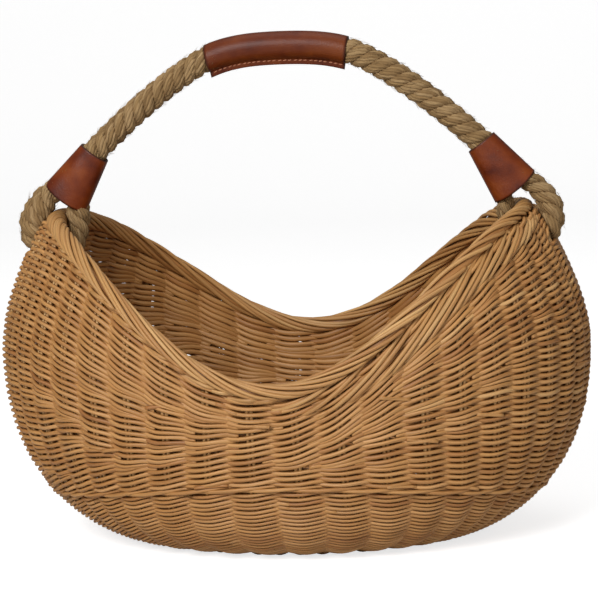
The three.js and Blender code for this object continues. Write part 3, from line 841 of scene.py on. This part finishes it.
LEATHER = 1.9               # thickness
CUFF_LOW = ((224.7, 347.0), -0.657, 24.8)  # centre, tilt from level and half-width
CUFF_HIGH = ((192.9, 391.5), -0.635, 15.6)
CUFF_DEEP = (15.4, 14.2)    # half-depth at the lower and the upper edge
CUFF_BULGE = {"left": 3.0, "right": 3.5}  # how far the lower edge bows out
CUFF_CREASE = 0.35
GRIP_R = ROPE_RADIUS + 2.2
GRIP_ENDS = (5.5, 3.0)      # how far inside the frame's grip each end stops
GRIP_ABOVE = 450            # the bow is higher than this along the grip
GRIP_OPEN = (-80, 260)      # degrees around the rope where the sleeve's two edges meet
FLANGE = 5.4                # the seam stands this far below the rope
FLANGE_HALF = (1.9, 1.8, 1.1)  # half its thickness: at the rope, above its foot, at its foot
STITCH_PITCH = 5.3
STITCH_DROP = 1.3           # the row of stitches below the sleeve's round
STITCH_HALF = 1.9           # half a stitch's length
STITCH_LEAN = 0.35
STITCH_OUT = (2.0, 0.5)     # how far it stands out at its middle, and less at its ends
STITCH_R = 0.62


def sleeve(name, material, rings):
    """A leather sleeve from rings of outer points, with an inside and two cut edges."""
    outer = np.array(rings)
    centre = outer.mean(axis=1, keepdims=True)
    inner = outer + unit(centre - outer) * LEATHER
    around = np.concatenate([outer, inner[::-1]])
    n, sides = around.shape[:2]
    quads = ring_quads(np.arange(n), (np.arange(n) + 1) % n, sides)
    is_edge = np.zeros(n)
    is_edge[[0, len(outer) - 1, len(outer), -1]] = 1
    verts = around.reshape(-1, 3)
    build = Builder()
    build.add(verts, list(quads), np.repeat(is_edge, sides), verts.copy())
    return build.make(name, material)


def oval_ring(centre, turn, half_wide, half_deep, sides=48, squareness=2.3):
    t = np.arange(sides) * 2 * math.pi / sides
    c, s = np.cos(t), np.sin(t)
    across = half_wide * np.sign(c) * np.abs(c) ** (2 / squareness)
    deep = half_deep * np.sign(s) * np.abs(s) ** (2 / squareness)
    return np.stack([centre[0] + across * math.cos(turn), deep,
                     centre[1] - across * math.sin(turn)], axis=-1)


def build_cuff(side, material):
    sign = 1 if side == "right" else -1
    (low, low_turn, low_half), (high, high_turn, high_half) = CUFF_LOW, CUFF_HIGH
    low, high = np.array(low) * (sign, 1), np.array(high) * (sign, 1)
    away = unit(low - high)
    rings = []
    for t in np.linspace(0, 1, 30):
        centre = low * (1 - t) + high * t
        turn = sign * (low_turn * (1 - t) + high_turn * t)
        half = low_half * (1 - t) + high_half * t
        deep = CUFF_DEEP[0] * (1 - t) + CUFF_DEEP[1] * t
        ring = oval_ring(centre, turn, half, deep)
        across = (ring[:, 0] - centre[0]) / (half * math.cos(turn))
        bow = CUFF_BULGE[side] * (1 - np.clip(np.abs(across), 0, 1) ** 2.5) * (1 - t) ** 3
        crease = CUFF_CREASE * np.sin(9 * t + 3 * across) * t * (1 - t) * 4
        ring[:, 0] += away[0] * bow
        ring[:, 2] += away[1] * bow
        ring[:, 1] *= 1 - crease / deep
        rings.append(ring)
    return sleeve(f"{side}_cuff_leather", material, rings)


def grip_line():
    """The rope's path under the leather grip, with the direction that is up there."""
    low, high = box_mm("leather_grip")
    path = rope_path(1.0)
    inside = (path[:, 0] > low[0] + GRIP_ENDS[0]) & (path[:, 0] < high[0] - GRIP_ENDS[1])
    path = path[inside & (path[:, 2] > GRIP_ABOVE)]
    along = unit(np.gradient(path, axis=0))
    # The cut ends stand nearly upright rather than square to the rope.
    ends = np.linspace(-1, 1, len(path)) ** 5
    up = np.stack([-along[:, 2] * (1 - 0.5 * np.abs(ends)), 0 * along[:, 0], along[:, 0]], axis=-1)
    return path, unit(up)


def build_grip(material):
    path, up = grip_line()
    section = [(GRIP_R * math.cos(t), GRIP_R * math.sin(t))
               for t in np.radians(np.linspace(*GRIP_OPEN, 44))]
    levels = -GRIP_R - np.array([0.8, FLANGE - 0.7, FLANGE])
    section += [(-half, z) for half, z in zip(FLANGE_HALF, levels)]
    section += [(half, z) for half, z in zip(FLANGE_HALF[::-1], levels[::-1])]
    section = np.array(section)
    rings = [p + Y_AXIS * section[:, :1] + u * section[:, 1:] for p, u in zip(path[::3], up[::3])]
    return sleeve("grip_leather", material, rings)


def build_stitches(material):
    """A row of stitches along each face of the flange under the grip."""
    build = Builder()
    path, up = grip_line()
    reach = np.linspace(-1, 1, 7)
    size = STITCH_R * np.sqrt(np.clip(1.05 - reach ** 2, 0.05, 1))
    for k in np.arange(STITCH_PITCH, len(path) - STITCH_PITCH / 2, STITCH_PITCH):
        i = int(k)
        along = unit(path[i + 1] - path[i - 1])
        middle = path[i] - up[i] * (GRIP_R + STITCH_DROP)
        for face in (-1, 1):
            out = face * (STITCH_OUT[0] - STITCH_OUT[1] * reach ** 2)
            points = (middle + along * (reach * STITCH_HALF)[:, None]
                      + up[i] * (reach * STITCH_LEAN)[:, None] + np.outer(out, Y_AXIS))
            build.tube(points, *across_axes(points, Y_AXIS), size, size, 0.5, 8)
    return build.make("grip_stitches", material)


# ---- materials ----

def new_material(name):
    material = bpy.data.materials.new(name)
    material.use_nodes = True
    tree = material.node_tree
    return material, tree, tree.nodes["Principled BSDF"]


def fill(tree, made, inputs):
    """Each input gets a value, or a link from another node's output."""
    for key, value in inputs.items():
        if isinstance(value, bpy.types.NodeSocket):
            tree.links.new(value, made.inputs[key])
        else:
            made.inputs[key].default_value = value


def node(tree, kind, inputs, **settings):
    made = tree.nodes.new(kind)
    for key, value in settings.items():
        setattr(made, key, value)
    fill(tree, made, inputs)
    return made


def attribute(tree, name, output):
    return node(tree, "ShaderNodeAttribute", {}, attribute_name=name).outputs[output]


def srgb(r, g, b):
    def linear(c):
        c = c / 255
        return c / 12.92 if c <= 0.04045 else ((c + 0.055) / 1.055) ** 2.4
    return (linear(r), linear(g), linear(b), 1.0)


def ramp(tree, stops, source):
    made = node(tree, "ShaderNodeValToRGB", {"Fac": source})
    elements = made.color_ramp.elements
    while len(elements) < len(stops):
        elements.new(0.5)
    for element, (position, colour) in zip(elements, stops):
        element.position = position
        element.color = colour
    return made.outputs["Color"]


def mixed(tree, amount, colour, other, blend_type="MULTIPLY"):
    return node(tree, "ShaderNodeMix", {"Factor": amount, "A": colour, "B": other},
                data_type="RGBA", blend_type=blend_type).outputs["Result"]


def bump(tree, height, strength, distance):
    return node(tree, "ShaderNodeBump", {"Strength": strength, "Distance": distance,
                                         "Height": height}).outputs["Normal"]


def grained_material(name, stops, grain, detail, streaks, streak, gap_shade, rough, ridges):
    """Rods or yarns: a tint of their own, streaks along the grain, painted shade in crevices and
    fine ridges.

    grain stretches the streaks' noise, streaks colours it and streak is its strength; the pair
    after it is the colour and the reach of the painted shade that ambient occlusion lays into
    crevices; ridges is the strength and the height of the bump.
    """
    material, tree, shader = new_material(name)
    base = ramp(tree, stops, attribute(tree, "tint", "Fac"))
    along = attribute(tree, "grain", "Vector")
    stretch = node(tree, "ShaderNodeVectorMath", {0: along, 1: grain}, operation="MULTIPLY")
    noise = node(tree, "ShaderNodeTexNoise", {
        "Scale": 1.0, "Detail": detail, "Vector": stretch.outputs[0]}).outputs["Fac"]
    colour = mixed(tree, streak, base, ramp(tree, streaks, noise))
    deep, reach = gap_shade
    # Painted shade: ambient occlusion darkens the colour in crevices and between rods, down to the
    # shade colour where they close in most.
    occlusion = node(tree, "ShaderNodeAmbientOcclusion", {"Distance": reach}, samples=6)
    closed = ramp(tree, [(0.12, deep), (0.62, (1, 1, 1, 1))], occlusion.outputs["AO"])
    fill(tree, shader, {"Base Color": mixed(tree, 1.0, colour, closed), "Roughness": rough,
                        "Normal": bump(tree, noise, *ridges)})
    return material


def rod_material(name, stops):
    streaks = [(0.3, (0.55, 0.47, 0.4, 1)), (0.55, (1, 1, 1, 1)), (0.8, (1.18, 1.16, 1.1, 1))]
    # (0.45, 0.32, 0.2) is the painted shade laid into crevices between rods, out to 8 mm.
    return grained_material(name, stops, (22, 900, 900), 4, streaks, 0.7,
                            ((0.45, 0.32, 0.2, 1), 0.008), 0.52, (0.25, 0.0004))


def rope_material():
    stops = [(0, srgb(136, 106, 66)), (0.5, srgb(157, 126, 82)), (1, srgb(174, 144, 102))]
    streaks = [(0.3, (0.5, 0.45, 0.38, 1)), (0.6, (1, 1, 1, 1))]
    # (0.5, 0.36, 0.2) is the painted shade laid into crevices between yarns and strands, out to 4
    # mm.
    return grained_material("jute", stops, (120, 1500, 1500), 5, streaks, 0.8,
                            ((0.5, 0.36, 0.2, 1), 0.004), 0.92, (0.7, 0.0006))


def leather_material(name, tone):
    """Pebbled leather in uneven reddish browns, darker at its cut edges and by tone overall."""
    material, tree, shader = new_material(name)
    spot = node(tree, "ShaderNodeTexCoord", {}).outputs["Object"]
    patches = node(tree, "ShaderNodeTexNoise", {"Scale": 38, "Detail": 5, "Vector": spot})
    shades = [(0.3, srgb(86, 26, 4)), (0.5, srgb(120, 48, 8)), (0.72, srgb(144, 68, 18))]
    shades = [(stop, tuple(tone * c for c in shade[:3]) + (1,)) for stop, shade in shades]
    colour = ramp(tree, shades, patches.outputs["Fac"])
    colour = mixed(tree, attribute(tree, "tint", "Fac"), colour, srgb(58, 26, 16), "MIX")
    pebble = node(tree, "ShaderNodeTexVoronoi", {"Scale": 620, "Vector": spot})
    fill(tree, shader, {"Base Color": colour, "Roughness": 0.45, "Specular IOR Level": 0.3,
                        "Normal": bump(tree, pebble.outputs["Distance"], 0.28, 0.0005)})
    return material


# ---- assembly ----

weave_mat = rod_material("willow", [
    (0.0, srgb(158, 104, 54)), (0.25, srgb(176, 123, 67)), (0.6, srgb(190, 139, 80)),
    (0.85, srgb(200, 150, 94)), (1.0, srgb(218, 178, 118))])
stake_mat = rod_material("willow_uprights", [
    (0.0, srgb(200, 154, 96)), (1.0, srgb(220, 180, 122))])
rim_mat = rod_material("willow_border", [
    (0.0, srgb(166, 112, 58)), (0.5, srgb(190, 142, 84)), (1.0, srgb(210, 168, 110))])
jute = rope_material()
leather = leather_material("cognac_leather", 0.85)
grip_mat = leather_material("grip_leather", 0.62)
thread, thread_tree, thread_shader = new_material("thread")
fill(thread_tree, thread_shader, {"Base Color": srgb(178, 116, 84), "Roughness": 0.75})

stakes = [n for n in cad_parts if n.startswith(("cross_stake", "long_stake"))]


def seat(pieces, nodes, body="basket"):
    """The pieces ride on the body, and stand together for those nodes of the frame."""
    for piece in pieces:
        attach(piece, body)
    if nodes:
        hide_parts(*nodes)


def bend(obj):
    """The piece's place is baked into its mesh."""
    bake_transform(obj)


seat(in_parts("lower_weave", 2, LOWER_ROWS, weave_mat, add_lower_row),
     ["lower_weave_outer", "lower_weave_inner"])
seat([build_wale(weave_mat)], ["wale_outer"])
seat([build_tips(weave_mat)], [])
seat(build_upper(weave_mat), ["side_weave_outer", "side_weave_inner"])
seat([build_stakes(stake_mat)], stakes)
seat([build_base(weave_mat)], ["base_weave_under", "base_weave_upper"])
seat([build_base_rods(stake_mat)], [])
seat(in_parts("rim_border", 2, PAIRS, rim_mat, add_border_pair),
     ["rim_border", "rim_core_rod"])
seat([build_rim_core(rim_mat)], [])

rope = build_rope(jute)
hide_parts("left_rope_eye", "right_rope_eye", "handle_rope",
            "left_rope_tail", "right_rope_tail")
for obj in (rope, build_fuzz(jute)):
    bend(obj)
for side in ("left", "right"):
    cuff = build_cuff(side, leather)
    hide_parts(f"{side}_cuff")
    bend(cuff)
seat([build_grip(grip_mat)], ["leather_grip"], "handle")
seat([build_stitches(thread)], ["grip_thread"], "handle")


# ---- stage, light and camera, in metres ----

FLOOR_REACH = 6.0           # half-width of the floor, and how far it comes forwards
FLOOR_BACK = 2.6            # where it begins to curve up behind the basket
COVE_R = 1.2
FLOOR_TOP = 5.0
FLOOR_GREY = 0.7
FLOOR_GLOW = 0.74           # added where the camera sees the floor, so that it looks white
WORLD_LIGHT = 0.2
LIGHT_TARGET = (0, 0, 0.22)
LIGHTS = {"key": ((-0.6, -2.1, 1.5), 1.0, 46),  # place, size and power
          "fill": ((1.5, -1.7, 1.0), 1.5, 6),
          "top": ((0.0, 0.2, 2.3), 1.4, 9)}
CAMERA_ANGLES = (7.44, 8.88, 2.21)  # azimuth, elevation and roll in degrees
CAMERA_TARGET = (0.0072, 0.0009, 0.2392)
CAMERA_DISTANCE = 2.2
CAMERA_VIEW = 0.598         # width of the view at the target
SENSOR = 36


def build_stage():
    cove = [(FLOOR_BACK + COVE_R * math.sin(a), COVE_R - COVE_R * math.cos(a))
            for a in np.linspace(0, math.pi / 2, 14)]
    profile = [(-FLOOR_REACH, 0.0)] + cove + [(FLOOR_BACK + COVE_R, FLOOR_TOP)]
    verts = [(x, y, z) for y, z in profile for x in (-FLOOR_REACH, FLOOR_REACH)]
    faces = [(2 * i, 2 * i + 1, 2 * i + 3, 2 * i + 2) for i in range(len(profile) - 1)]
    floor = bpy.data.meshes.new("floor")
    floor.from_pydata(verts, [], faces)
    material, tree, shader = new_material("paper")
    fill(tree, shader, {"Base Color": (FLOOR_GREY, FLOOR_GREY, FLOOR_GREY, 1),
                        "Roughness": 0.9, "Specular IOR Level": 0.0,
                        "Emission Color": (1, 1, 1, 1),
                        "Emission Strength": seen_by_camera(tree, "MULTIPLY", FLOOR_GLOW)})
    floor.materials.append(material)
    for polygon in floor.polygons:
        polygon.use_smooth = True
    add_object("floor", floor)


def seen_by_camera(tree, operation, value):
    """1 for what the camera sees directly and 0 otherwise, combined with a value."""
    direct = node(tree, "ShaderNodeLightPath", {}).outputs["Is Camera Ray"]
    return node(tree, "ShaderNodeMath", {0: direct, 1: value}, operation=operation).outputs[0]


def build_lights():
    world = bpy.data.worlds.new("studio")
    world.use_nodes = True
    tree = world.node_tree
    # White where the camera sees it, and dimmer as a light.
    fill(tree, tree.nodes["Background"], {
        "Color": (1, 1, 1, 1), "Strength": seen_by_camera(tree, "MAXIMUM", WORLD_LIGHT)})
    bpy.context.scene.world = world
    for name, (spot, size, power) in LIGHTS.items():
        light = bpy.data.lights.new(name, "AREA")
        light.size = size
        light.energy = power
        obj = add_object(name, light)
        obj.location = spot
        away = Vector(LIGHT_TARGET) - Vector(spot)
        obj.rotation_euler = away.to_track_quat("-Z", "Y").to_euler()


def build_camera():
    azimuth, elevation, roll = (math.radians(angle) for angle in CAMERA_ANGLES)
    back = Vector((math.sin(azimuth) * math.cos(elevation),
                   -math.cos(azimuth) * math.cos(elevation), math.sin(elevation)))
    camera = bpy.data.cameras.new("camera")
    camera.sensor_width = SENSOR
    camera.lens = SENSOR * CAMERA_DISTANCE / CAMERA_VIEW
    obj = add_object("camera", camera)
    obj.location = Vector(CAMERA_TARGET) + back * CAMERA_DISTANCE
    level = (-back).to_track_quat("-Z", "Y")
    obj.rotation_euler = (level @ Quaternion((0, 0, 1), -roll)).to_euler()
    bpy.context.scene.camera = obj


build_stage()
build_lights()
build_camera()
bpy.context.scene.view_settings.view_transform = "Standard"
